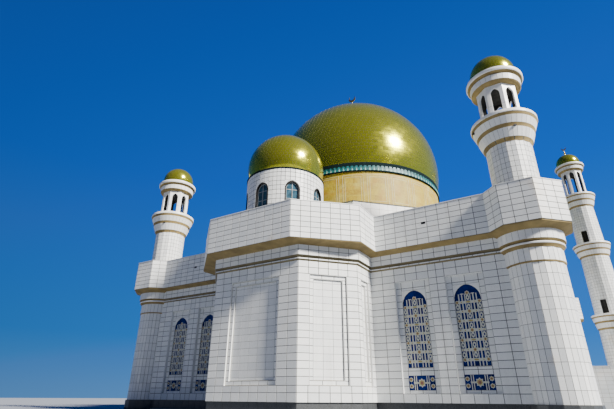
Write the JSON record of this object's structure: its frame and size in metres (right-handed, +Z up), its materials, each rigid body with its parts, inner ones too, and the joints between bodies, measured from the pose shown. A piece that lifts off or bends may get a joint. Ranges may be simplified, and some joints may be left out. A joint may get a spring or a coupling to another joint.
{
  "type": "half-size scale model of a mosque building",
  "caption": "Clad stone mosque hall with bays, round corner towers, open-lantern minarets, a tall minaret and gilded domes.",
  "frame": {"origin": "on the ground under the centre of the main dome, on the underside of the floor slab", "axes": "+Z up, +Y from the pictured rear side towards the front side with the doors, +X to the right as seen from the rear side"},
  "size_m": [24.59, 29.08, 20.5761],
  "materials": {
    "marble": "honed white marble slabs",
    "concrete": "plain concrete",
    "mosaic": "ochre mosaic",
    "turquoise_tile": "glazed tile",
    "gilt_metal": "gilded sheet, satin to polished",
    "blue_glass": "deep blue stained glass",
    "teal_glass": "dark teal glass",
    "door_wood": "dark varnished wood"
  },
  "bodies": {
    "root": {"floor_slab": "concrete", "rear_roof": "concrete", "rear_bay_roof": "concrete", "front_roof": "concrete", "rear_wall_left": "marble", "rear_wall_right": "marble", "rear_bay_corner_left": "marble", "rear_bay_corner_right": "marble", "rear_bay_front": "marble", "rear_parapet": "marble", "rear_glass_left": "blue_glass", "rear_glass_right": "blue_glass", "front_wall_left": "marble", "front_wall_right": "marble", "front_bay_corner_left": "marble", "front_bay_corner_right": "marble", "front_bay_front": "marble", "front_parapet": "marble", "front_glass_left": "blue_glass", "front_glass_right": "blue_glass", "front_doors": "door_wood", "right_wall": "marble", "right_parapet": "marble", "right_glass": "blue_glass", "left_wall": "marble", "left_parapet": "marble", "left_glass": "blue_glass", "dome_base": "marble", "dome_drum": "mosaic", "dome_band": "turquoise_tile", "main_dome": "gilt_metal", "main_dome_finial": "gilt_metal", "bay_drum": "marble", "bay_drum_glass": "teal_glass", "bay_dome": "gilt_metal", "tower_rear_left": "marble", "crown_rear_left": "marble", "minaret_rear_left": "marble", "lantern_rear_left": "marble", "minaret_dome_rear_left": "gilt_metal", "tower_rear_right": "marble", "crown_rear_right": "marble", "minaret_rear_right": "marble", "lantern_rear_right": "marble", "minaret_dome_rear_right": "gilt_metal", "tower_front_left": "marble", "crown_front_left": "marble", "minaret_front_left": "marble", "lantern_front_left": "marble", "minaret_dome_front_left": "gilt_metal", "tower_front_right": "marble", "crown_front_right": "marble", "minaret_front_right": "marble", "lantern_front_right": "marble", "minaret_dome_front_right": "gilt_metal", "minaret_annex": "marble", "tall_minaret": "marble", "tall_lantern": "marble", "tall_dome": "gilt_metal", "tall_finial": "gilt_metal"}
  },
  "joints": []
}
